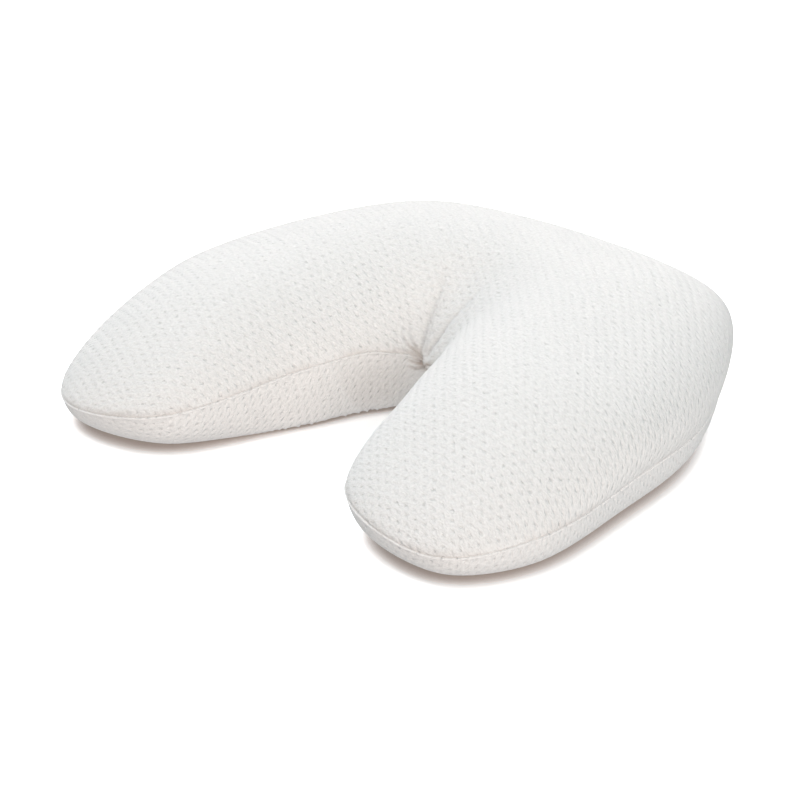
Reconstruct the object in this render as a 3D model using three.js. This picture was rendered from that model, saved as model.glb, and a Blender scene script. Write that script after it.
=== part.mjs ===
// Travel pillow: one filled U that lies flat on its back, with its crown up and its neck gap towards -Y.
// Millimetres, +Z up. The origin is on the floor, under the middle of the pillow's outer box.

import * as THREE from 'three';
import { LoftGeometry } from 'three/addons/geometries/LoftGeometry.js';
import { mergeVertices } from 'three/addons/utils/BufferGeometryUtils.js';

// Crown: the height of the pillow's back, and how it falls off along the arms to their tips
const CROWN_HEIGHT = 79;
const TIP_HEIGHT = 40;
const TAPER_START_Y = 44;
const TAPER_LENGTH = 339;

// Cross-sections of the right arm, from the middle of the pillow out to the arm's end.
// inner and outer are the seam's two places in plan, with its heights, and crest is the section's top.
// steps divides the stretch from this section to the next one, or to the tip after the last.
const SECTIONS = [
  { inner: [0, -19], innerSeam: 29, outer: [0, 109], outerSeam: 31, crest: [0, 51], steps: 6 },
  { inner: [9.5, -21], innerSeam: 32, outer: [70, 109], outerSeam: 33, crest: [44, 32], steps: 5 },
  { inner: [15, -31], innerSeam: 35, outer: [106, 84], outerSeam: 35, crest: [62, 18], steps: 7 },
  { inner: [22, -44], innerSeam: 37, outer: [140, 21], outerSeam: 27, crest: [70, -9], steps: 8 },
  { inner: [35, -80], innerSeam: 34, outer: [151, -45], outerSeam: 26, crest: [84, -67], steps: 7 },
];

// The seam round the arm's rounded end, from its inner side to its outer side, with the draw-in under it
const TIP = [
  { at: [61, -144], seam: 24, tuck: 25 },
  { at: [121, -153], seam: 16, tuck: 22 },
  { at: [152, -112], seam: 21.5, tuck: 19 },
];
const TIP_STEPS = 6;

// How far the outer wall swells out above the seam, and how far the lower panel draws in under it
const SWELL = { inner: 0, tip: 0, outer: 8 };
const SWELL_SCALE = 1.8;
const TUCK = { inner: 8, outer: 21 };

// How the wall rises to the crown: under 1 it fills out early, and over 1 it slopes up more evenly
const RISE = { inner: 1.45, tip: 1.3, outer: 1.03 };

// The seam is drawn in between two soft lips
const SEAM_DEPTH = 1.2;
const LIP_ANGLE = 2.5;

// Soft troughs where the two arms press against each other above the notch
const TROUGHS = [
  { from: [0, -20], to: [1, 26], halfWidth: 25, depth: 5 },
  { from: [-4, -20], to: [-14, 17], halfWidth: 6, depth: 3 },
  { from: [3, -20], to: [17, 20], halfWidth: 6, depth: 3 },
];

const CURVE_TENSION = 0.5;
const LOWER_RINGS = 6;
const CROWN_RINGS = 19;
const WELD_DISTANCE = 0.01;

const lastSection = SECTIONS.length - 1;
const halfWay = 2 * SECTIONS.length + TIP.length - 1;

// One row for each station of the seam on the right half: inner side, tip, outer side
function rightStations() {
  const inner = SECTIONS.map((row) => ({
    at: row.inner,
    seam: row.innerSeam,
    swell: SWELL.inner,
    tuck: TUCK.inner,
    rise: RISE.inner,
  }));
  const tip = TIP.map((row) => ({ ...row, swell: SWELL.tip, rise: RISE.tip }));
  const outer = SECTIONS.map((row) => ({
    at: row.outer,
    seam: row.outerSeam,
    swell: SWELL.outer,
    tuck: TUCK.outer,
    rise: RISE.outer,
  }));
  return [...inner, ...tip, ...outer.reverse()];
}

// Closed curves through the stations of both halves, which carry the seam and the wall's sizes
function stationCurves() {
  const right = rightStations();
  const left = right.slice(1, -1).reverse().map((row) => ({ ...row, at: [-row.at[0], row.at[1]] }));
  const loop = [...right, ...left];
  const closedCurve = (toPoint) =>
    new THREE.CatmullRomCurve3(loop.map(toPoint), true, 'catmullrom', CURVE_TENSION);
  return {
    seam: closedCurve((row) => new THREE.Vector3(row.at[0], row.at[1], row.seam)),
    wall: closedCurve((row) => new THREE.Vector3(row.swell, row.tuck, row.rise)),
  };
}

// The line of the crown's top, from the left arm's end over the back to the right arm's end
function crestCurve() {
  const right = SECTIONS.map((row) => new THREE.Vector3(row.crest[0], row.crest[1], 0));
  const left = SECTIONS.slice(1).reverse().map((row) => new THREE.Vector3(-row.crest[0], row.crest[1], 0));
  return new THREE.CatmullRomCurve3([...left, ...right], false, 'catmullrom', CURVE_TENSION);
}

// Places along the seam in station numbers, closer together where the seam bends more
function loopPlaces() {
  const out = SECTIONS.map((row) => row.steps);
  const gaps = [...out, ...Array(TIP.length - 1).fill(TIP_STEPS), ...out.slice().reverse()];
  const right = gaps.flatMap((steps, i) => Array.from({ length: steps }, (unused, k) => i + k / steps));
  const left = right.slice(1).reverse().map((place) => 2 * halfWay - place);
  return [...right, halfWay, ...left];
}

// Height that the crown aims for at a place in plan
function crownHeight(y) {
  const share = THREE.MathUtils.clamp((TAPER_START_Y - y) / TAPER_LENGTH, 0, 1);
  return TIP_HEIGHT + (CROWN_HEIGHT - TIP_HEIGHT) * (1 + Math.cos(Math.PI * share)) / 2;
}

// Depth of the troughs at a place in plan
function troughDepth(point) {
  let total = 0;
  for (const trough of TROUGHS) {
    const start = new THREE.Vector2(...trough.from);
    const run = new THREE.Vector2(...trough.to).sub(start);
    const offset = new THREE.Vector2(point.x, point.y).sub(start);
    const along = THREE.MathUtils.clamp(offset.dot(run) / run.lengthSq(), 0, 1);
    const away = offset.distanceTo(run.clone().multiplyScalar(along)) / trough.halfWidth;
    total += trough.depth * (1 - along * along) * (1 + Math.cos(Math.PI * Math.min(away, 1))) / 2;
  }
  return total;
}

// Everything that one column of the surface needs, at a place along the seam
function columnAt(place, curves, crest) {
  const t = place / (2 * halfWay);
  const rim = curves.seam.getPoint(t);
  const tangent = curves.seam.getTangent(t).setZ(0).normalize();
  const wall = curves.wall.getPoint(t);
  const fromMiddle = Math.min(place, Math.abs(halfWay - place), 2 * halfWay - place, lastSection);
  const side = place <= halfWay ? 1 : -1;
  return {
    rim,
    outward: new THREE.Vector3(tangent.y, -tangent.x, 0),
    swell: wall.x,
    tuck: wall.y,
    rise: wall.z,
    crest: crest.getPoint((1 + side * fromMiddle / lastSection) / 2),
  };
}

// Lower panel: a quarter round from the flat underside, at 90 degrees, up to the seam, at 0
function lowerPoint(column, angle) {
  const drawnIn = column.tuck * (1 - Math.cos(angle));
  const point = column.rim.clone().addScaledVector(column.outward, -drawnIn);
  return point.setZ(column.rim.z * (1 - Math.sin(angle)));
}

// Crown: a swelling quarter round from the seam, at 0 degrees, up to the crest, at 90
function crownPoint(column, angle) {
  const share = angle / (Math.PI / 2);
  const swell = column.swell * SWELL_SCALE * Math.sin(Math.PI * share) * (1 - share);
  const point = column.rim.clone().setZ(0);
  point.lerp(column.crest, 1 - Math.cos(angle)).addScaledVector(column.outward, swell);
  const rise = Math.sin(angle) ** column.rise;
  const height = THREE.MathUtils.lerp(column.rim.z, crownHeight(point.y), rise);
  return point.setZ(height - troughDepth(point) * rise);
}

function seamPoint(column) {
  return column.rim.clone().addScaledVector(column.outward, -SEAM_DEPTH);
}

// A loft of closed rings from the flat underside over the seam up to the crest line, where the two
// sides of the last ring meet and are welded
function pillowGeometry() {
  const curves = stationCurves();
  const crest = crestCurve();
  const columns = loopPlaces().map((place) => columnAt(place, curves, crest));
  const lip = THREE.MathUtils.degToRad(LIP_ANGLE);
  const angleAt = (share) => THREE.MathUtils.lerp(lip, Math.PI / 2, share);
  const rings = [];
  for (let i = LOWER_RINGS; i >= 0; i -= 1) {
    rings.push(columns.map((column) => lowerPoint(column, angleAt(i / LOWER_RINGS))));
  }
  rings.push(columns.map(seamPoint));
  for (let i = 0; i <= CROWN_RINGS; i += 1) {
    rings.push(columns.map((column) => crownPoint(column, angleAt(i / CROWN_RINGS))));
  }
  return weld(new LoftGeometry(rings, { capStart: true }));
}

// Shares the vertices that coincide and drops the triangles that this closes up
function weld(loft) {
  const bare = new THREE.BufferGeometry();
  bare.setIndex(loft.getIndex());
  bare.setAttribute('position', loft.getAttribute('position'));
  const welded = mergeVertices(bare, WELD_DISTANCE);
  const corners = welded.index.array;
  const kept = [];
  for (let i = 0; i < corners.length; i += 3) {
    const [a, b, c] = corners.slice(i, i + 3);
    if (a !== b && b !== c && c !== a) {
      kept.push(a, b, c);
    }
  }
  welded.setIndex(kept);
  welded.computeBoundingBox();
  const middle = welded.boundingBox.getCenter(new THREE.Vector3());
  welded.translate(0, -middle.y, 0);
  welded.computeVertexNormals();
  return welded;
}

const cover = new THREE.MeshStandardMaterial({ color: 0xf2f1ef, roughness: 0.95, metalness: 0 });
const pillow = new THREE.Mesh(pillowGeometry(), cover);
pillow.name = 'pillow';

const object = new THREE.Group();
object.add(pillow);

export default object;
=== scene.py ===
# %% [markdown]
# # A travel pillow in a dimpled knit cover
#
# The pillow is one filled U of knit cloth that lies flat on its back. Two flat cuts of cloth, an
# upper and a lower one, are sewn together all round and turned, so that a thin crease is all that
# shows of the seam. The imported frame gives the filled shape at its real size. This lesson adds what
# cloth adds: a skin swelled by its filling, the turned seam, the folds in the notch, the dimples of
# the knit, and the light of a small studio.

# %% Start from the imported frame
import math
import bmesh
import bpy
import numpy as np
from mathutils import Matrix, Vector, noise
from mathutils.bvhtree import BVHTree
from mathutils.kdtree import KDTree


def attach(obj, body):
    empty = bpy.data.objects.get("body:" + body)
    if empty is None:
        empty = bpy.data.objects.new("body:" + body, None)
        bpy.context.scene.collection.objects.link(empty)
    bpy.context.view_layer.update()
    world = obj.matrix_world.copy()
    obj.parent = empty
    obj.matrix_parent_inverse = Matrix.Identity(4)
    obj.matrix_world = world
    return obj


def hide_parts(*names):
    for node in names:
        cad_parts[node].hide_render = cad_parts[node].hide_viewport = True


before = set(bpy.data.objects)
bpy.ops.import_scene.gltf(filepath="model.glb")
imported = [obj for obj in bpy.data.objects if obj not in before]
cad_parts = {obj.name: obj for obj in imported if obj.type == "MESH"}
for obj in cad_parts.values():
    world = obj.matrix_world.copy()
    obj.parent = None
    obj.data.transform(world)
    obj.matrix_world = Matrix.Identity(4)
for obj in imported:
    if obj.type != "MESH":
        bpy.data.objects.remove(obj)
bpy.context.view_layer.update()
MM = 0.001               # Blender works in metres, and the sizes below are in millimetres

# %% [markdown]
# ## The camera
#
# The photograph was taken from a little above, past the right arm's side, with a long lens. A long
# lens from far off keeps the two arms at nearly the same scale. The values below were fitted until
# the pillow's outline and seam lay on the photograph's. The camera is aimed at a point on the pillow
# rather than shifted, so that it stays centred when another view turns it.

# %% Camera at the photograph's angle
CAMERA_AIM = (15.6, -39.9, 30)    # millimetres, as every place and length here
CAMERA_AZIMUTH, CAMERA_ELEVATION = math.radians(42.49), math.radians(24.35)
CAMERA_DISTANCE, CAMERA_LENS = 1285, 120.6

def direction(azimuth, elevation):
    """The way from the pillow to a camera or light. Azimuth 0 is in front, and 90 is on the right."""
    return Vector((
        math.sin(azimuth) * math.cos(elevation),
        -math.cos(azimuth) * math.cos(elevation),
        math.sin(elevation),
    ))

def look_at(thing, aim):
    thing.rotation_euler = (Vector(aim) * MM - thing.location).to_track_quat("-Z", "Y").to_euler()

scene = bpy.context.scene
camera = bpy.data.objects.new("photo_camera", bpy.data.cameras.new("photo_camera"))
scene.collection.objects.link(camera)
camera.location = (
    Vector(CAMERA_AIM) + direction(CAMERA_AZIMUTH, CAMERA_ELEVATION) * CAMERA_DISTANCE
) * MM
look_at(camera, CAMERA_AIM)
camera.data.lens = CAMERA_LENS
scene.camera = camera
print("camera at", [round(c, 3) for c in camera.location])

# %% [markdown]
# ## Finding the seam
#
# The frame's solid comes as loose triangles, so a copy of it is merged first. On the real pillow the
# seam is where the upper and the lower cut meet, and the solid is drawn in there. That makes it easy
# to find: its edges are the only sharply concave ones. They are marked as seams, and they part the
# solid into its two cuts. The groove itself is filled up again, because the fine skin gets a groove
# of its own later.

# %% Merged copy of the solid, with its seam
MERGE_DISTANCE = 0.01 * MM
GROOVE_ANGLE = -0.6
GROOVE_DEPTH = 1.2

shell = bmesh.new()
shell.from_mesh(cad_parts["pillow"].data)
bmesh.ops.remove_doubles(shell, verts=shell.verts, dist=MERGE_DISTANCE)
shell.normal_update()
for edge in shell.edges:
    edge.seam = edge.calc_face_angle_signed(0) < GROOVE_ANGLE

def walk_loop(edges):
    """The corners of a closed loop of edges, in order, from the one nearest the middle of the notch."""
    near = {}
    for edge in edges:
        for vert in edge.verts:
            near.setdefault(vert, []).append(edge.other_vert(vert))
    path = [min(near, key=lambda vert: abs(vert.co.x) + abs(vert.co.y))]
    step = max(near[path[0]], key=lambda vert: vert.co.x)
    while step is not path[0]:
        path.append(step)
        step = next(vert for vert in near[step] if vert is not path[-2])
    return path

seam_corners = walk_loop([edge for edge in shell.edges if edge.seam])
for vert in seam_corners:
    vert.co += vert.normal * GROOVE_DEPTH * MM
print("seam:", len(seam_corners), "corners")

# %% The two cuts
bmesh.ops.triangulate(shell, faces=[face for face in shell.faces if len(face.verts) > 3])
upper, front = set(), {max(shell.faces, key=lambda face: face.calc_center_median().z)}
while front:
    upper |= front
    front = {
        other for face in front for edge in face.edges if not edge.seam for other in edge.link_faces
    } - upper
cuts = {
    "upper": [face for face in shell.faces if face in upper],
    "lower": [face for face in shell.faces if face not in upper],
}
for name, faces in cuts.items():
    area = sum(face.calc_area() for face in faces) / (10 * MM) ** 2
    print(name, "cut:", len(faces), "faces,", round(area), "square centimetres")

# %% [markdown]
# ## The rows of the cloth
#
# The dimples sit in straight rows in the roll of cloth, and a knit stretches. On the filled pillow
# the rows therefore do not turn with the arms: seen from above they stay nearly parallel, and lean
# only a little more to each side. Unwrapping the mesh would turn them far too much. So every face is
# told which way its rows should run, and then the flat place of each corner is worked out so that it
# follows those ways as closely as a curved surface lets it. That is a least squares problem, which
# the conjugate gradient method solves in a few hundred short steps.

# %% Flat places that follow the rows
ROWS_LEAN = 105                    # degrees from +X, at the middle of the pillow
ROWS_SPREAD = -0.115               # degrees more for each millimetre to the right
SOLVER_STEPS = 600
SOLVER_END = 1e-9

def row_frames(normals, middles, side):
    """The way across the rows and the way along them, on faces with these normals."""
    lean = np.radians(ROWS_LEAN + ROWS_SPREAD * middles[:, 0] / MM)
    pole = np.array([0, 0, side])
    frames = []
    for turn in (lean - math.pi / 2, lean):
        flat = np.stack([np.cos(turn), np.sin(turn), 0 * turn], axis=1)
        tip = (normals * flat).sum(1) / (1 + normals @ pole)
        frames.append(flat - tip[:, None] * (normals + pole))
    return frames

def lay_flat(faces, side):
    """A place in the flat cloth for every corner of one cut."""
    verts = sorted({vert for face in faces for vert in face.verts}, key=lambda vert: vert.index)
    number = {vert: index for index, vert in enumerate(verts)}
    corners = np.array([[number[vert] for vert in face.verts] for face in faces])
    spots = np.array([vert.co for vert in verts])[corners]
    sides = np.roll(spots, -2, axis=1) - np.roll(spots, -1, axis=1)
    cross = np.cross(sides[:, 0], sides[:, 1])
    twice = np.linalg.norm(cross, axis=1)
    normals = cross / twice[:, None]
    rates = np.cross(normals[:, None], sides) / twice[:, None, None]

    def gather(slopes):
        weights = (rates * slopes[:, None]).sum(2) * twice[:, None]
        return np.bincount(corners.ravel(), weights.ravel(), len(verts))

    def slopes_of(values):
        return (rates * values[corners][:, :, None]).sum(1)

    ease = np.bincount(corners.ravel(), ((rates ** 2).sum(2) * twice[:, None]).ravel(), len(verts))
    flat = []
    for wanted in row_frames(normals, spots.mean(1), side):
        values = np.zeros(len(verts))
        rest = gather(wanted)
        first = eased = step = None
        for number_of_step in range(SOLVER_STEPS):
            smooth = rest / ease
            size = rest @ smooth
            first = first or size
            if size < SOLVER_END * first:
                break
            step = smooth if step is None else smooth + step * size / eased
            pushed = gather(slopes_of(step))
            share = size / (step @ pushed)
            values, rest, eased = values + share * step, rest - share * pushed, size
        flat.append(values)
    strain = np.linalg.norm(slopes_of(flat[0]), axis=1)
    print("rows strained by", np.percentile(strain, (5, 50, 95)).round(2), "after", number_of_step, "steps")
    return {vert: Vector(place) for vert, place in zip(verts, np.stack(flat, axis=1))}

flat_places = {"upper": lay_flat(cuts["upper"], 1), "lower": lay_flat(cuts["lower"], -1)}

# %% [markdown]
# ## Filling the cover
#
# Loose filling pushes the cloth out evenly until the cloth is taut. The same happens here: the skin
# starts a little small, is remeshed into even squares that cloth can bend in any direction, and is
# blown up by a short cloth simulation with pressure and without gravity. A cap on how far a point
# may move keeps the pillow near its real size, and whatever would bulge through the floor is pressed
# flat on it.

# %% Skin swelled by its filling
START_INSET = 1.0
SKIN_SQUARE = 6.0
SWELL_CAP = 2.0
PRESSURE = 4
LAST_FRAME = 20
NO_LENGTH = 1e-9                  # keeps a division by a length of nothing from failing

def evaluated_copy(thing, name):
    depsgraph = bpy.context.evaluated_depsgraph_get()
    return bpy.data.meshes.new_from_object(thing.evaluated_get(depsgraph), depsgraph=depsgraph)

def places(mesh):
    flat = np.empty(len(mesh.vertices) * 3)
    mesh.vertices.foreach_get("co", flat)
    return flat.reshape(-1, 3)

def fill_with_pressure(thing):
    cloth = thing.modifiers.new("filling", "CLOTH")
    cloth.settings.quality = 6
    cloth.settings.mass = 0.3
    cloth.settings.tension_stiffness = 15
    cloth.settings.compression_stiffness = 15
    cloth.settings.bending_stiffness = 0.4
    cloth.settings.use_pressure = True
    cloth.settings.uniform_pressure_force = PRESSURE
    cloth.settings.effector_weights.gravity = 0
    cloth.point_cache.frame_start, cloth.point_cache.frame_end = 1, LAST_FRAME
    for number in range(1, LAST_FRAME + 1):
        scene.frame_set(number)

start_mesh = bpy.data.meshes.new("skin")
shell.to_mesh(start_mesh)
skin = bpy.data.objects.new("skin", start_mesh)
scene.collection.objects.link(skin)
inset = skin.modifiers.new("inset", "DISPLACE")
inset.strength, inset.mid_level = -START_INSET * MM, 0
squares = skin.modifiers.new("squares", "REMESH")
squares.mode, squares.voxel_size = "VOXEL", SKIN_SQUARE * MM
squared = evaluated_copy(skin, "skin")
skin.modifiers.clear()
skin.data = squared
before = places(squared)
fill_with_pressure(skin)
swelled = evaluated_copy(skin, "skin")
skin.modifiers.clear()
scene.frame_set(1)
move = places(swelled) - before
reach = np.linalg.norm(move, axis=1)
held = np.minimum(reach, SWELL_CAP * MM) / np.maximum(reach, NO_LENGTH)
after = before + move * held[:, None]
print("swelling: up to", round(reach.max() / MM, 2), "mm, held to", SWELL_CAP)
after[:, 2] = np.maximum(after[:, 2], 0)
squared.vertices.foreach_set("co", after.ravel())
print("skin:", len(squared.vertices), "corners")

# %% [markdown]
# ## A finer skin
#
# One smooth subdivision rounds the squares. What lies on the floor stays at that, because nothing
# shows there. Everything above it is divided once more, to squares of a millimetre and a half, so
# that each dimple has a few corners of its own, and the notch with its sharp little folds once again.
#
# Remeshing and pressure also wear off the firm edge where the two cuts meet. So the skin is laid
# against a smoothly subdivided copy of the solid whose seam is kept sharp: no corner may lie further
# from it than a little slack. The rim of the flat underside is kept sharp too. A small lift makes up
# for what the softening takes off.

# %% Subdivided skin
FLOOR_CLEARANCE = 0.6
NOTCH = (-4, 10, 42)
FINE_REACH = 27                   # how far from there the skin is at its finest

def near_notch(vert, reach):
    return (vert.co - Vector(NOTCH) * MM).length < reach * MM

def divide(bm, edges):
    bmesh.ops.subdivide_edges(bm, edges=list(edges), cuts=1, use_grid_fill=True)

def soften(bm, rounds):
    soft = [v for v in bm.verts if v.co.z > FLOOR_CLEARANCE * MM]
    for turn in range(rounds):
        bmesh.ops.smooth_vert(
            bm, verts=soft, factor=0.5, use_axis_x=True, use_axis_y=True, use_axis_z=True
        )

rounding = skin.modifiers.new("rounding", "SUBSURF")
rounding.levels = rounding.render_levels = 1
rounded = evaluated_copy(skin, "skin")
bpy.data.objects.remove(skin)
cover = bmesh.new()
cover.from_mesh(rounded)
divide(cover, [e for e in cover.edges if max(v.co.z for v in e.verts) > FLOOR_CLEARANCE * MM])
soften(cover, 2)
print("cover:", len(cover.faces), "faces")

# %% Skin laid against the solid
SLACK = 0.3
LIFT = 0.35
FLAT = -0.999                     # normals that point straighter down than this are the underside's

def rests_on_rim(edge):
    """Whether an edge lies on the floor, where the flat underside ends."""
    highest = max(vert.co.z for vert in edge.verts)
    steepest = max(face.normal.z for face in edge.link_faces)
    return highest < MERGE_DISTANCE and steepest > FLAT

def smooth_solid(bm):
    """The solid with rounded faces and a firm seam and rim, as a tree of nearest points."""
    mesh = bpy.data.meshes.new("smooth_solid")
    whole = bm.copy()
    firm = whole.edges.layers.float.new("crease_edge")
    for edge in whole.edges:
        edge[firm] = float(edge.seam or rests_on_rim(edge))
    bmesh.ops.join_triangles(
        whole, faces=whole.faces, cmp_seam=True, angle_face_threshold=0.7, angle_shape_threshold=1.0
    )
    whole.to_mesh(mesh)
    thing = bpy.data.objects.new("smooth_solid", mesh)
    scene.collection.objects.link(thing)
    rounding = thing.modifiers.new("rounding", "SUBSURF")
    rounding.levels = rounding.render_levels = 2
    fine = evaluated_copy(thing, "smooth_solid")
    bpy.data.objects.remove(thing)
    return BVHTree.FromPolygons([v.co for v in fine.vertices], [p.vertices for p in fine.polygons])

def lay_against(bm, tree):
    furthest = 0
    for vert in bm.verts:
        near, normal = tree.find_nearest(vert.co)[:2]
        away = vert.co - near
        furthest = max(furthest, away.length)
        vert.co = near + away * min(1, SLACK * MM / max(away.length, NO_LENGTH)) + normal * LIFT * MM
        vert.co.z = max(vert.co.z, 0)
    return furthest / MM

solid_tree = smooth_solid(shell)
print("worn off by up to", round(lay_against(cover, solid_tree), 2), "mm")
divide(cover, [edge for edge in cover.edges if near_notch(edge.verts[0], FINE_REACH)])
lay_against(cover, solid_tree)
soften(cover, 1)
print("cover:", len(cover.faces), "faces")

# %% [markdown]
# ## Measuring from the seam
#
# The remeshing forgot where the seam is, so the cover is measured from it: every corner near the
# seam learns how far above or below it it lies, in the surface. Then the mesh is cut along lines at
# chosen distances. The trick for a clean cut is to stand the mesh up by that distance for a moment:
# each line is then a flat plane, which is what the bisect operator cuts along.

# %% The seam as one smooth line
SEAM_STEP = 0.5

def smooth_ring(rows, step):
    """A closed curve through the rows, each a place and an outward direction, with even steps."""
    ring = np.array(rows)
    before, after, later = (np.roll(ring, shift, axis=0) for shift in (1, -1, -2))
    out = []
    for p0, p1, p2, p3 in zip(before, ring, after, later):
        count = max(2, round(float(np.linalg.norm((p2 - p1)[:3])) / step))
        for t in np.linspace(0, 1, count, endpoint=False):
            out.append(0.5 * (
                2 * p1 + (p2 - p0) * t + (2 * p0 - 5 * p1 + 4 * p2 - p3) * t ** 2
                + (3 * p1 - p0 - 3 * p2 + p3) * t ** 3
            ))
    return np.array(out)

def unit(rows):
    return rows / np.linalg.norm(rows, axis=1)[:, None]

shell.normal_update()
corners = walk_loop([edge for edge in shell.edges if edge.seam])
seam_ring = smooth_ring([[*vert.co, *vert.normal] for vert in corners], SEAM_STEP * MM)
seam_line = seam_ring[:, :3]
seam_along = unit(np.roll(seam_line, -1, axis=0) - np.roll(seam_line, 1, axis=0))
seam_outward = unit(seam_ring[:, 3:])
seam_up = unit(np.cross(seam_outward, seam_along))
seam_up *= np.sign(seam_up[:, 2])[:, None]
seam_length = np.linalg.norm(np.roll(seam_line, -1, axis=0) - seam_line, axis=1).sum()
print("seam line:", len(seam_line), "points,", round(seam_length / MM), "mm round")

# %% Distance of the cover from the seam
SEAM_REACH = 12.0

seam_tree = KDTree(len(seam_line))
for index, place in enumerate(seam_line):
    seam_tree.insert(place, index)
seam_tree.balance()
shell.verts.index_update()
cut_trees = {
    name: BVHTree.FromPolygons(
        [vert.co for vert in shell.verts],
        [[vert.index for vert in face.verts] for face in faces],
    )
    for name, faces in cuts.items()
}
above = cover.verts.layers.float.new("above_seam")
for vert in cover.verts:
    near, index, reach = seam_tree.find(vert.co)
    if reach < SEAM_REACH * MM:
        vert[above] = (vert.co - near).dot(Vector(seam_up[index]))
    else:
        gaps = {name: tree.find_nearest(vert.co)[3] for name, tree in cut_trees.items()}
        vert[above] = SEAM_REACH * MM * (1 if gaps["upper"] < gaps["lower"] else -1)
print("measured:", len(cover.verts), "corners")

# %% Cuts along the seam
SEAM_CUTS = (-3.0, -1.6, -1.1, -0.7, -0.3, 0.0, 0.3, 0.9, 2.4)
SNAP = 0.06
SLIVER = 0.12
SEAM_BAND = 4                     # slivers are merged up to this far from the seam
FAR = 100                         # corners with a greater distance than this are left alone

def cut_at_levels(bm, layer, levels):
    """New edges on all faces along the lines where the layer's value is at each level."""
    home = bm.verts.layers.float_vector.new("home")
    for vert in bm.verts:
        vert[home] = vert.co
        vert.co = (vert.co.x, vert.co.y, vert[layer])
    faces = [face for face in bm.faces if max(v.co.z for v in face.verts) < FAR * MM]
    for level in levels:
        crossing = [
            face for face in faces
            if min(v.co.z for v in face.verts) < level * MM < max(v.co.z for v in face.verts)
        ]
        verts = [vert for face in crossing for vert in face.verts]
        edges = [edge for face in crossing for edge in face.edges]
        made = bmesh.ops.bisect_plane(
            bm, geom=list(dict.fromkeys([*crossing, *verts, *edges])), dist=SNAP * MM,
            plane_co=(0, 0, level * MM), plane_no=(0, 0, 1),
        )
        split = [part for part in made["geom"] if isinstance(part, bmesh.types.BMFace)]
        faces = list(dict.fromkeys([*faces, *split]))
    for vert in bm.verts:
        vert[layer] = vert.co.z
        vert.co = vert[home]
    bm.verts.layers.float_vector.remove(home)

cut_at_levels(cover, above, SEAM_CUTS)
band = [vert for vert in cover.verts if abs(vert[above]) < SEAM_BAND * MM]
bmesh.ops.remove_doubles(cover, verts=band, dist=SLIVER * MM)
print("cut along the seam:", len(cover.faces), "faces")

# %% [markdown]
# ## The folds in the notch
#
# At the notch the seam turns sharply and the two arms press together, so the cloth creases. Each
# fold is a path over the cover, from its deep end to where it runs out. The photograph shows these
# paths in its own frame, so a point with two numbers is a pixel of it, and a ray from the camera
# finds where that pixel lies on the pillow. A point with three numbers is a place in millimetres,
# for what doesn't show well. The cover is cut along each path as it was along the seam, so that a
# fold narrower than the skin's squares still gets corners of its own.

# %% Places that the photograph shows
PHOTO_SIZE = 792                  # pixels each way

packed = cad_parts["pillow"].data
packed_tree = BVHTree.FromPolygons([v.co for v in packed.vertices], [p.vertices for p in packed.polygons])

def shown_at(x, y):
    """The place on the pillow at a pixel of the photograph, to a tenth of a millimetre."""
    pixel = camera.data.sensor_width / camera.data.lens / PHOTO_SIZE
    ray = Vector(((x - PHOTO_SIZE / 2) * pixel, (PHOTO_SIZE / 2 - y) * pixel, -1))
    ray.rotate(camera.rotation_euler)
    place = packed_tree.ray_cast(camera.location, ray.normalized())[0]
    return tuple(round(part / MM, 1) for part in place)

print("middle of the photograph:", shown_at(PHOTO_SIZE / 2, PHOTO_SIZE / 2))

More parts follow.
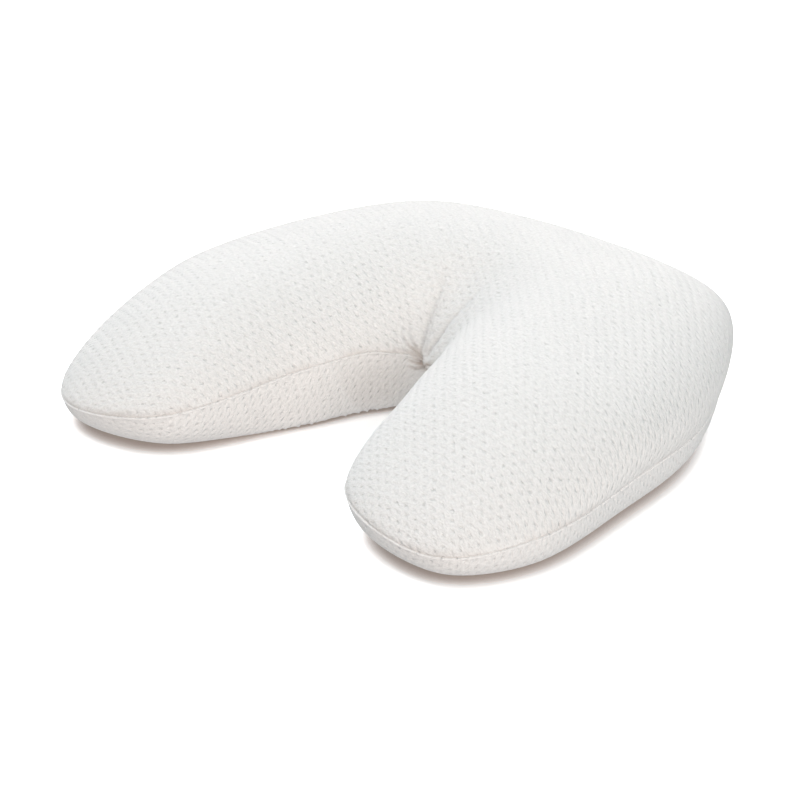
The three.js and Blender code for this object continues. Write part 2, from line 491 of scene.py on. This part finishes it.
# %% Paths of the folds
# a fold's shade is painted shade along its path
FOLDS = (                         # widths are to a path's left and right, and so are lips
    dict(name="left_crease", widths=(2.0, 1.1), depth=2.1, shade=0.44, path=[
        (423.125, 362.5), (420.625, 350), (423.125, 342.5), (426.25, 331.25), (430, 320), (433.125, 311.25),
        (436.25, 303.75), (440, 296.25), (441.25, 288.75), (445, 281.25), (446.25, 273.75), (-16, 37, 69.5),
    ]),
    dict(name="left_double", widths=(1.0, 1.0), depth=0.9, shade=0.25, path=[
        (425.625, 351.25), (428.125, 340), (431.875, 326.25), (435, 316.25), (440, 307.5),
        (445, 298.75), (447.5, 288.75), (451.875, 277.5),
    ]),
    dict(name="right_crease", widths=(1.2, 1.8), lips=(0.2, 1.0), depth=1.9, shade=0.3, path=[
        (427.5, 355), (433.75, 345), (438.75, 338.125), (445, 328.75), (450, 321.25),
        (456.25, 315), (462.5, 307.5), (468.75, 301.25), (475, 296.25), (483.75, 283.75),
    ]),
    dict(name="right_rib", widths=(0.7, 1), depth=0.5, shade=0.15, path=[
        (435, 350), (450, 332.5), (460, 317.5), (470, 305), (10, 26, 61),
    ]),
    dict(name="right_ripple", widths=(0.7, 1), depth=0.4, shade=0.1, path=[
        (445, 347.5), (455, 335), (461.25, 325), (467.5, 313.75), (477.5, 300),
    ]),
    dict(name="pinch_high", widths=(0.8, 0.8), depth=0.9, shade=0.5, path=[
        (-5.5, 1.8, 31), (415, 345), (410, 335), (409.375, 326.25), (-15.5, 5, 48),
    ]),
    dict(name="pinch_middle", widths=(0.8, 0.8), depth=0.9, shade=0.55, path=[
        (-5.4, 1.7, 30.5), (416.25, 351.25), (406.875, 343.75), (401.25, 332.5),
    ]),
    dict(name="seam_end", widths=(0.8, 0.6), depth=0.8, shade=0.6, path=[
        (423.75, 365), (421.25, 358.75), (413.75, 353.125), (405, 350),
    ]),
    dict(name="tuck_high", widths=(0.8, 0.8), depth=1, shade=0.6, path=[
        (-3.3, 1.7, 27), (422.5, 362.5), (415, 358.125), (-12, -2.2, 32),
    ]),
    dict(name="tuck_middle", widths=(0.9, 0.8), depth=1.1, shade=0.7, path=[
        (423.75, 366.25), (415, 361.875), (-12.5, -3.4, 30),
    ]),
    dict(name="tuck_low", widths=(0.8, 1), depth=0.9, shade=0.5, path=[
        (423.125, 367.5), (415, 368.125), (-12.6, -3.6, 26.6),
    ]),
    dict(name="far_tuck_high", widths=(0.9, 0.8), depth=1, shade=0.6, path=[
        (-2.5, 1.8, 27.4), (2, 0.5, 29.5), (7, -4, 33.5),
    ]),
    dict(name="far_tuck_low", widths=(0.8, 1), depth=1, shade=0.6, path=[
        (-2.5, 1.8, 26), (2.5, 0.5, 25.5), (8, -5, 27),
    ]),
)
fold_paths = {
    fold["name"]: [shown_at(*point) if len(point) == 2 else point for point in fold["path"]]
    for fold in FOLDS
}
print("folds:", {name: len(path) for name, path in fold_paths.items()})

# %% Cuts along the folds
FOLD_REACH = 9
FOLD_CUTS = (-1.2, -0.5, 0.0, 0.5, 1.2)
FOLD_BAND = 2.2
FOLDED_REACH = 43.2               # how far from the notch's middle the paths of the folds are looked for

def path_offset(point, normal, path):
    """The distance from a path, that over the surface, positive on its right, and the share passed."""
    runs = [(Vector(a), Vector(b)) for a, b in zip(path, path[1:])]
    total, passed, best = sum((b - a).length for a, b in runs), 0, (FOLD_REACH, 0, 0)
    for a, b in runs:
        run = b - a
        share = min(max((point - a).dot(run) / run.length_squared, 0), 1)
        offset = point - a - run * share
        if offset.length < best[0]:
            sideways = (offset - normal * offset.dot(normal)).length
            right = 1 if run.cross(normal).dot(offset) > 0 else -1
            best = (offset.length, right * sideways, (passed + share * run.length) / total)
        passed += run.length
    return best

def notch_corners():
    return [vert for vert in cover.verts if near_notch(vert, FOLDED_REACH)]

for fold in FOLDS:
    beside = cover.verts.layers.float.new(fold["name"])
    cover.normal_update()
    for vert in cover.verts:
        vert[beside] = 2 * FAR * MM
    for vert in notch_corners():
        away, offset, share = path_offset(vert.co / MM, vert.normal, fold_paths[fold["name"]])
        if away < FOLD_BAND and 0 < share < 1:
            vert[beside] = offset * MM
    cut_at_levels(cover, beside, FOLD_CUTS)
    cover.verts.layers.float.remove(beside)
bmesh.ops.remove_doubles(cover, verts=notch_corners(), dist=SLIVER * MM)
# the painted shade of the folds, kept on each corner
fold_painted_shade = cover.verts.layers.float.new("fold_painted_shade")
above = cover.verts.layers.float["above_seam"]
print("cut along the folds:", len(cover.faces), "faces")

# %% [markdown]
# ## Carrying the rows of the cloth over
#
# Each corner of the cover now looks up its place in the flat cut: the nearest point of the merged
# solid, on its own side of the seam, and where that point went when the cloth was laid out. Round
# the notch the layout draws the rows of the lower cut too far apart, so they are crowded together
# again there. A little slow unevenness is added, because no cloth is sewn exactly straight.

# %% Places in the flat cut
STRAY = 0.5
STRAY_PATCH = 22
STRAY_SHIFTS = (0, 7)             # these set the two directions' unevenness apart
CROWDING = 0.3                    # the share of rows that is added at the notch
CROWDED_PATCH = 30
notch_place = flat_places["lower"][seam_corners[0]]

def crowd(flat):
    """The rows of the lower cut are crowded together round the notch."""
    away = flat - notch_place
    passed = away.length / (CROWDED_PATCH * MM)
    return flat + away * CROWDING * math.tanh(passed) / max(passed, NO_LENGTH)

def stray(place, shift):
    return noise.noise(Vector(place) / (STRAY_PATCH * MM) + Vector((shift, 0, 0))) * STRAY * MM

def read_flat_cut(name):
    """A function that gives the flat place for a point in space, on one cut."""
    def read(point):
        near, normal, index, reach = cut_trees[name].find_nearest(point)
        verts = cuts[name][index].verts
        a, b, c = (vert.co for vert in verts)
        whole = (b - a).cross(c - a)
        size = whole.length_squared
        share_b = (near - a).cross(c - a).dot(whole) / size
        share_c = (b - a).cross(near - a).dot(whole) / size
        shares = (1 - share_b - share_c, share_b, share_c)
        corners = (flat_places[name][vert] * share for vert, share in zip(verts, shares))
        flat = sum(corners, Vector((0, 0)))
        flat = crowd(flat) if name == "lower" else flat
        return tuple(part + stray(point, shift) for part, shift in zip(flat, STRAY_SHIFTS))
    return read

cover.normal_update()
cover_grain = cover.loops.layers.uv.new("grain")
readers = {name: read_flat_cut(name) for name in cuts}
known = {name: {} for name in cuts}
for face in cover.faces:
    middle = sum(vert[above] for vert in face.verts) / len(face.verts)
    name = "upper" if middle > 0 else "lower"
    for loop in face.loops:
        if loop.vert not in known[name]:
            known[name][loop.vert] = readers[name](loop.vert.co)
        loop[cover_grain].uv = known[name][loop.vert]
print("read:", {name: len(found) for name, found in known.items()})

# %% [markdown]
# ## The shape of the seam, the folds and the dimples
#
# All three are small moves of the cover along its own normals. The seam is a crease with a soft lip
# above it and the folded edge of the lower cut as a fine bead below it. Each fold is a narrow valley
# with a lip on both sides, and all of them sink where they meet. And each dimple of the knit is a
# shallow pit, one at every point of a staggered lattice that is laid out in the flat cut.

# %% Profile of the seam
SEAM_PROFILE = (                  # above the seam, outward
    (-7.0, 0.0), (-3.0, 0.05), (-1.6, 0.1), (-1.1, 0.5), (-0.7, 0.65), (-0.3, 0.35),
    (0.0, -0.5), (0.3, 0.0), (0.9, 0.2), (2.4, 0.25), (7.0, 0.0),
)
WAVE = 0.35
WAVE_LENGTH = 7

def seam_move(up, place):
    """How far out a corner goes, from its distance above the seam. The bead waves a little."""
    wave = 1 + WAVE * noise.noise(Vector(place) / (WAVE_LENGTH * MM))
    return float(np.interp(up / MM, *zip(*SEAM_PROFILE))) * wave * MM

print("bead:", max(out for up, out in SEAM_PROFILE), "mm proud")

# %% Moves of the folds, and their painted shade
# A gather's shade is painted shade. The first also sinks the cloth where the folds meet.
GATHERS = (                       # where all folds meet, and the shaded cloth below and above it
    dict(at=(-3.8, 1.7, 26.6), radius=2.0, depth=2.0, shade=0.6),
    dict(at=(-14.5, -19, 15), radius=20.0, depth=0.0, shade=0.125),
    dict(at=(2, 12, 46), radius=10.0, depth=0.0, shade=0.07),
)
GATHERS_REACH = 54                # how far from the notch's middle folds and shade are worked out
FOLD_LIPS = (0.2, 0.2)            # how far the cloth rises beside a fold, as shares of its depth
LIP_PLACE, LIP_WIDTH = 2.5, 1.5   # in widths of the fold
FOLD_DARK = 1.0                   # how wide a fold's shade is

def fold_move(point, normal):
    """How far out a corner goes for the folds, and how much painted shade lies in them there."""
    total = shade = 0
    for gather in GATHERS:
        gathered = math.exp(-((point / MM - Vector(gather["at"])).length / gather["radius"]) ** 2)
        total -= gather["depth"] * gathered
        shade += gather["shade"] * gathered
    for fold in FOLDS:
        away, offset, share = path_offset(point / MM, normal, fold_paths[fold["name"]])
        if away < FOLD_REACH:
            side = 0 if offset < 0 else 1
            widths = abs(offset) / fold["widths"][side]
            strength = math.cos(share * math.pi / 2) * math.exp(-max(away - abs(offset), 0))
            rise = math.exp(-((widths - LIP_PLACE) / LIP_WIDTH) ** 2)
            lip = fold.get("lips", FOLD_LIPS)[side] * rise
            total += fold["depth"] * strength * (lip - math.exp(-widths))
            shade = max(shade, fold["shade"] * strength * math.exp(-(offset / FOLD_DARK) ** 2))
    return total * MM, shade

print("deepest fold:", max(fold["depth"] for fold in FOLDS), "mm")

# %% Dimples of the knit
CELL = (6.0, 7.8)                 # across and along the rows, with a second dimple in each middle
PIT_SIZE = (1.4, 0.8)             # a dimple is longer across the rows than along them
PIT_DEPTH = 0.25
SEAM_QUIET = 1.6                  # the pits fade out this close to the seam, and to the floor
FLOOR_QUIET = 5.0

def dimple_move(flat, up, height):
    """A pit round each point of the staggered lattice."""
    across, along = flat[0] / (CELL[0] * MM), flat[1] / (CELL[1] * MM)
    lean, fall = (side - round(side) for side in (across + along, across - along))
    x, y = (lean + fall) / 2 * CELL[0], (lean - fall) / 2 * CELL[1]
    quiet = min(abs(up) / (SEAM_QUIET * MM), 1) * min(height / (FLOOR_QUIET * MM), 1)
    return -PIT_DEPTH * MM * math.exp(-(x / PIT_SIZE[0]) ** 2 - (y / PIT_SIZE[1]) ** 2) * quiet

print("dimples:", round(2 * 10 ** 2 / (CELL[0] * CELL[1]), 1), "in a square centimetre")

# %% All moves of the cover at once
def cover_move(vert):
    flat = known["upper"].get(vert) or known["lower"][vert]
    move = dimple_move(flat, vert[above], vert.co.z) + seam_move(vert[above], vert.co)
    if near_notch(vert, GATHERS_REACH):
        fold, vert[fold_painted_shade] = fold_move(vert.co, vert.normal)
        move += fold
    return vert.normal * move

moves = [cover_move(vert) for vert in cover.verts]
for vert, move in zip(cover.verts, moves):
    vert.co += move
    vert.co.z = max(vert.co.z, 0)
for face in cover.faces:
    face.smooth = True
cover.normal_update()
cover_mesh = bpy.data.meshes.new("knit_cover")
cover.to_mesh(cover_mesh)
knit_cover = bpy.data.objects.new("knit_cover", cover_mesh)
scene.collection.objects.link(knit_cover)
triangles = sum(len(face.verts) - 2 for face in cover.faces)
print("knit cover:", triangles, "triangles")

# %% [markdown]
# ## The knit
#
# The cover is an undyed polyester knit, nearly white, matt, with a trace of fuzz. Its stitches are
# too fine to model one by one, so the material works in three scales. The pits of the geometry get a
# sharper bottom with a little darkening in it, partly the knit's own hole and partly painted shade.
# Between them the cloth swells in waves that follow the slanting rows of pits. And short strokes of
# fuzz lie across the rows, a little lighter than the low gaps between them, which are darker partly in
# tone and partly with painted shade. All three are read from the flat cut, so they run with the cloth.
# Along the seam, painted shade darkens the crease, a painted highlight lightens the bead under it, and
# an uneven warm painted shade lies just above it. The painted shade in the folds is stored on the
# mesh: it is grey in the upper cloth, and brown down at the seam.

# %% Small helpers for shader nodes
def add_node(tree, kind, values=None, **settings):
    """A node with its settings, and with plain values or links put into its inputs."""
    node = tree.nodes.new(kind)
    for key, value in settings.items():
        setattr(node, key, value)
    for key, value in (values or {}).items():
        if isinstance(value, bpy.types.NodeSocket):
            tree.links.new(value, node.inputs[key])
        else:
            node.inputs[key].default_value = value
    return node

def maths(tree, operation, *values):
    return add_node(tree, "ShaderNodeMath", dict(enumerate(values)), operation=operation).outputs[0]

def vectors(tree, operation, *values):
    node = add_node(tree, "ShaderNodeVectorMath", dict(enumerate(values)), operation=operation)
    return node.outputs["Value" if operation in ("LENGTH", "DOT_PRODUCT") else "Vector"]

def ramp_between(tree, value, low, high, start=0.0, end=1.0):
    """A smooth step from start to end while the value goes from low to high."""
    node = add_node(
        tree, "ShaderNodeMapRange", {0: value, 1: low, 2: high, 3: start, 4: end},
        interpolation_type="SMOOTHSTEP",
    )
    return node.outputs[0]

def over_band(tree, value, band, start, end):
    """The same smooth step over a band in millimetres."""
    return ramp_between(tree, value, band[0] * MM, band[1] * MM, start, end)

def noise_over(tree, place, scale, detail):
    node = add_node(tree, "ShaderNodeTexNoise", {"Vector": place, "Scale": scale, "Detail": detail})
    return node.outputs

def mixed(tree, amount, first, second):
    """The first colour where the amount is 0, and the second where it is 1."""
    node = add_node(tree, "ShaderNodeMix", {0: amount, 6: first, 7: second}, data_type="RGBA")
    return node.outputs[2]

# %% Dimples and stitches as heights
PIT_EDGE = (0.25, 0.85)           # the shares of a pit's size at which its bottom and its rim end
SWELLS = (                        # waves over the slanting rows of pits: the way they run, and height
    ((1, 0), 0.45), ((0, 1), 0.1), ((1, -1), 0.35), ((2, -1), 0.3),
)
WORN = 0.9                        # millimetres by which stitches and pits are pulled out of line
WORN_SCALE = 700                  # how many such pulls there are in a metre

def knit_lattice(tree, flat):
    """The distance to the nearest dimple in its own sizes, the swell there, and the dimple's luck."""
    cell = vectors(tree, "MULTIPLY", flat, (1 / (CELL[0] * MM), 1 / (CELL[1] * MM), 0))
    across, along = add_node(tree, "ShaderNodeSeparateXYZ", {0: cell}).outputs[:2]
    turned = add_node(tree, "ShaderNodeCombineXYZ", {
        0: maths(tree, "ADD", across, along), 1: maths(tree, "SUBTRACT", across, along),
    }).outputs[0]
    shifted = vectors(tree, "ADD", turned, (0.5, 0.5, 0))
    inside = vectors(tree, "SUBTRACT", vectors(tree, "FRACTION", shifted), (0.5, 0.5, 0))
    lean, fall = add_node(tree, "ShaderNodeSeparateXYZ", {0: inside}).outputs[:2]
    offset = add_node(tree, "ShaderNodeCombineXYZ", {
        0: maths(tree, "MULTIPLY", maths(tree, "ADD", lean, fall), CELL[0] / 2),
        1: maths(tree, "MULTIPLY", maths(tree, "SUBTRACT", lean, fall), CELL[1] / 2),
    }).outputs[0]
    gap = vectors(tree, "LENGTH", vectors(tree, "DIVIDE", offset, (*PIT_SIZE, 1)))
    swell = 0
    for (leaning, falling), height in SWELLS:
        way = maths(tree, "MULTIPLY_ADD", lean, leaning, maths(tree, "MULTIPLY", fall, falling))
        wave = maths(tree, "COSINE", maths(tree, "MULTIPLY", way, 2 * math.pi))
        swell = maths(tree, "MULTIPLY_ADD", wave, -height, swell)
    luck = add_node(tree, "ShaderNodeTexWhiteNoise", {0: vectors(tree, "FLOOR", shifted)}).outputs[0]
    return gap, swell, luck

def pulled(tree, flat):
    """The flat place, a little out of line, as no two stitches are quite alike."""
    wander = noise_over(tree, flat, WORN_SCALE, 1)["Color"]
    pull = vectors(tree, "SUBTRACT", wander, (0.5, 0.5, 0.5))
    return vectors(tree, "ADD", flat, vectors(tree, "MULTIPLY", pull, (WORN * MM,) * 3))

# %% Painted shade and highlight along the seam and in the folds
# painted shade in the seam's crease
CREASE_PAINTED_SHADE = (0.62, 0.59, 0.56, 1)
# painted highlight on the bead under the seam
BEAD_PAINTED_HIGHLIGHT = (0.99, 0.97, 0.95, 1)
# painted shade in the folds: grey in the upper cloth, brown at the seam and in the warm band above it
PAINTED_SHADE_GREY = (0.38, 0.38, 0.39, 1)
PAINTED_SHADE_BROWN = (0.30, 0.19, 0.12, 1)          # also the warm shade above the seam
CREASE_TINT, BEAD_TINT, WARM_PAINTED_SHADE_TINT = 0.4, 0.8, 0.15    # how strongly each is laid on
CREASE_BAND = (0.05, 0.30)                  # bands are in millimetres from the seam,
BEAD_MIDDLE, BEAD_BAND = -0.75, (0.2, 0.5)  # or from the bead's middle
# the uneven warm band just above the seam is painted shade
WARM_START, WARM_END = (-0.1, 0.2), (0, 4.5)          # the warm shade comes and goes over these
BROWN_BAND = (2, 9)                         # over this the folds turn from brown to grey
PATCH_SCALE, PATCH_BAND = 60, (0.35, 0.65)  # patches of warm shade in a metre, and their soft edges

def seam_layers(tree):
    """The painted shade and highlight laid over the knit along the seam and in the folds, as amounts and
    their colours.
    """
    up = add_node(tree, "ShaderNodeAttribute", attribute_name="above_seam").outputs["Fac"]
    # painted shade in the crease
    crease = over_band(tree, maths(tree, "ABSOLUTE", up), CREASE_BAND, CREASE_TINT, 0)
    # painted highlight along the bead
    from_bead = maths(tree, "ABSOLUTE", maths(tree, "SUBTRACT", up, BEAD_MIDDLE * MM))
    bead = over_band(tree, from_bead, BEAD_BAND, BEAD_TINT, 0)
    # painted warm shade just above the seam, in patches
    rising = over_band(tree, up, WARM_START, 0, 1)
    warm = maths(tree, "MULTIPLY", rising, over_band(tree, up, WARM_END, WARM_PAINTED_SHADE_TINT, 0))
    place = add_node(tree, "ShaderNodeTexCoord").outputs["Object"]
    patches = noise_over(tree, place, PATCH_SCALE, 1)["Fac"]
    warm = maths(tree, "MULTIPLY", warm, ramp_between(tree, patches, *PATCH_BAND))
    # painted shade in the folds, read from the mesh
    fold = add_node(tree, "ShaderNodeAttribute", attribute_name="fold_painted_shade").outputs["Fac"]
    painted_fold_colour = mixed(tree, over_band(tree, up, BROWN_BAND, 1, 0), PAINTED_SHADE_GREY, PAINTED_SHADE_BROWN)
    return (warm, PAINTED_SHADE_BROWN), (bead, BEAD_PAINTED_HIGHLIGHT), (crease, CREASE_PAINTED_SHADE), (fold, painted_fold_colour)

# %% Material of the knit
KNIT_COLOUR = (0.965, 0.955, 0.935, 1)
# the low gaps between the strokes are darker, partly in the knit's own tone and partly with painted shade
GAP_TONE_AND_PAINTED_SHADE = (0.855, 0.845, 0.825, 1)     # between the strokes of fuzz
STROKE, STROKE_SCALE = (2.2, 1, 1), 1300    # a stroke's shape, and strokes in a metre
STROKE_BAND = (0.3, 0.7)
# pits are darker, partly for the knit's own hole and partly with painted shade
PIT_HOLE_AND_PAINTED_SHADE = (0.50, 0.49, 0.47, 1)
PIT_TINT = 0.1
FAINTEST_PIT = 0.4                          # the strongest has 1
PIT_SHARE, SWELL_SHARE, FUZZ_SHARE = 0.7, 0.42, 1.5    # in the height of the bump
BUMP_DEPTH = 0.45

def make_knit():
    material = bpy.data.materials.new("dimpled_knit")
    material.use_nodes = True
    tree = material.node_tree
    shader = tree.nodes["Principled BSDF"]
    flat = pulled(tree, add_node(tree, "ShaderNodeUVMap", uv_map="grain").outputs[0])
    gap, swell, luck = knit_lattice(tree, flat)
    strength = ramp_between(tree, luck, 0, 1, FAINTEST_PIT, 1)
    pit = maths(tree, "MULTIPLY", ramp_between(tree, gap, *PIT_EDGE, 1, 0), strength)
    fuzz = noise_over(tree, vectors(tree, "DIVIDE", flat, STROKE), STROKE_SCALE, 3)["Fac"]
    swollen = maths(tree, "MULTIPLY", swell, SWELL_SHARE)
    raised = maths(tree, "MULTIPLY_ADD", fuzz, FUZZ_SHARE, swollen)
    height = maths(tree, "SUBTRACT", raised, maths(tree, "MULTIPLY", pit, PIT_SHARE))
    bump = add_node(tree, "ShaderNodeBump", {"Height": height, "Distance": BUMP_DEPTH * MM, "Strength": 1})
    layers = (
        (ramp_between(tree, fuzz, *STROKE_BAND), KNIT_COLOUR),
        (maths(tree, "MULTIPLY", pit, PIT_TINT), PIT_HOLE_AND_PAINTED_SHADE),
        *seam_layers(tree),
    )
    colour = GAP_TONE_AND_PAINTED_SHADE
    for amount, shade in layers:
        colour = mixed(tree, amount, colour, shade)
    tree.links.new(colour, shader.inputs["Base Color"])
    tree.links.new(bump.outputs[0], shader.inputs["Normal"])
    shader.inputs["Roughness"].default_value = 0.92
    shader.inputs["Specular IOR Level"].default_value = 0.25
    shader.inputs["Sheen Weight"].default_value = 0.15
    shader.inputs["Sheen Roughness"].default_value = 0.5
    return material

knit_cover.data.materials.append(make_knit())
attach(knit_cover, "root")
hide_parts("pillow")
print("material:", knit_cover.data.materials[0].name)

# %% [markdown]
# ## A white studio
#
# The pillow lies on white paper in a white room, lit so brightly that the paper burns out. Its dark
# contact with the pillow is a painted shadow, laid on where the paper is closed in. Four wide, soft
# lamps stand round it: on the camera's side, on the right, behind and high on the left. Their colours
# and strengths were found by rendering the pillow under one lamp at a time and fitting the sum to the
# photograph. The room is cool, and the lamps on the camera's side and behind are warm. To everything
# but the camera the paper is a glowing sheet that lights the pillow from below, in place of the light
# that burnt-out paper bounces up. To the camera alone it is white paper, which burns out under the lamps.

# %% Room and lamps
ROOM_LIGHT = (0.122, 0.198, 0.231)
LAMP_SPREAD = math.radians(45)
WHITE, BLACK = (1, 1, 1, 1), (0, 0, 0, 1)
LAMPS = (                         # the way to the lamp in degrees, and its light on what faces it
    dict(name="camera_side", azimuth=42, elevation=20, colour=(0.604, 0.514, 0.472)),
    dict(name="right_side", azimuth=100, elevation=20, colour=(0.227, 0.232, 0.233)),
    dict(name="behind", azimuth=215, elevation=20, colour=(0.650, 0.556, 0.528)),
    dict(name="window_side", azimuth=270, elevation=50, colour=(0.547, 0.546, 0.552)),
)

scene.world = bpy.data.worlds.new("studio")
scene.world.use_nodes = True
room_tree = scene.world.node_tree
seen = add_node(room_tree, "ShaderNodeLightPath").outputs["Is Camera Ray"]
tint = mixed(room_tree, seen, (*ROOM_LIGHT, 1), WHITE)
room_tree.links.new(tint, room_tree.nodes["Background"].inputs["Color"])
for lamp in LAMPS:
    light = bpy.data.lights.new(lamp["name"], "SUN")
    light.angle = LAMP_SPREAD
    light.energy = math.pi * max(lamp["colour"])
    light.color = [part / max(lamp["colour"]) for part in lamp["colour"]]
    thing = bpy.data.objects.new(lamp["name"], light)
    scene.collection.objects.link(thing)
    thing.location = direction(math.radians(lamp["azimuth"]), math.radians(lamp["elevation"]))
    look_at(thing, (0, 0, 0))
scene.view_settings.view_transform = "Standard"
print("lamps:", [lamp["name"] for lamp in LAMPS])

# %% Floor
FLOOR_SIZE = 6000
FLOOR_GLOW = (0.536, 0.540, 0.547, 1)
FLOOR_SEEN = (1.85, 1.85, 1.85, 1)
CONTACT_PAINTED_SHADOW = (0.50, 0.42, 0.38, 1)
CONTACT_REACH = 12
CONTACT_BAND = (0.1, 0.75)        # the paper goes from dark to white over this share of open sky

floor_mesh = bpy.data.meshes.new("floor")
floor_shape = bmesh.new()
bmesh.ops.create_grid(floor_shape, x_segments=1, y_segments=1, size=FLOOR_SIZE / 2 * MM)
floor_shape.to_mesh(floor_mesh)
floor = bpy.data.objects.new("floor", floor_mesh)
scene.collection.objects.link(floor)

def make_floor():
    """White paper that burns out where the light reaches it, with a painted shadow at the contact, and that
    glows toward all but the camera.
    """
    material = bpy.data.materials.new("studio_white")
    material.use_nodes = True
    tree = material.node_tree
    shader = tree.nodes["Principled BSDF"]
    # painted contact shadow: dark where the paper is closed in by the pillow, white where it is open
    openness = add_node(tree, "ShaderNodeAmbientOcclusion", {"Distance": CONTACT_REACH * MM}).outputs["AO"]
    shown = mixed(tree, ramp_between(tree, openness, *CONTACT_BAND), CONTACT_PAINTED_SHADOW, FLOOR_SEEN)
    seen = add_node(tree, "ShaderNodeLightPath").outputs["Is Camera Ray"]
    tree.links.new(mixed(tree, seen, BLACK, shown), shader.inputs["Base Color"])
    # a glow hidden from the camera lights the pillow from below, in place of the paper's bounce
    tree.links.new(maths(tree, "SUBTRACT", 1, seen), shader.inputs["Emission Strength"])
    shader.inputs["Emission Color"].default_value = FLOOR_GLOW
    shader.inputs["Roughness"].default_value = 0.9
    shader.inputs["Specular IOR Level"].default_value = 0
    return material

floor_mesh.materials.append(make_floor())
print("floor:", FLOOR_SIZE, "mm wide")
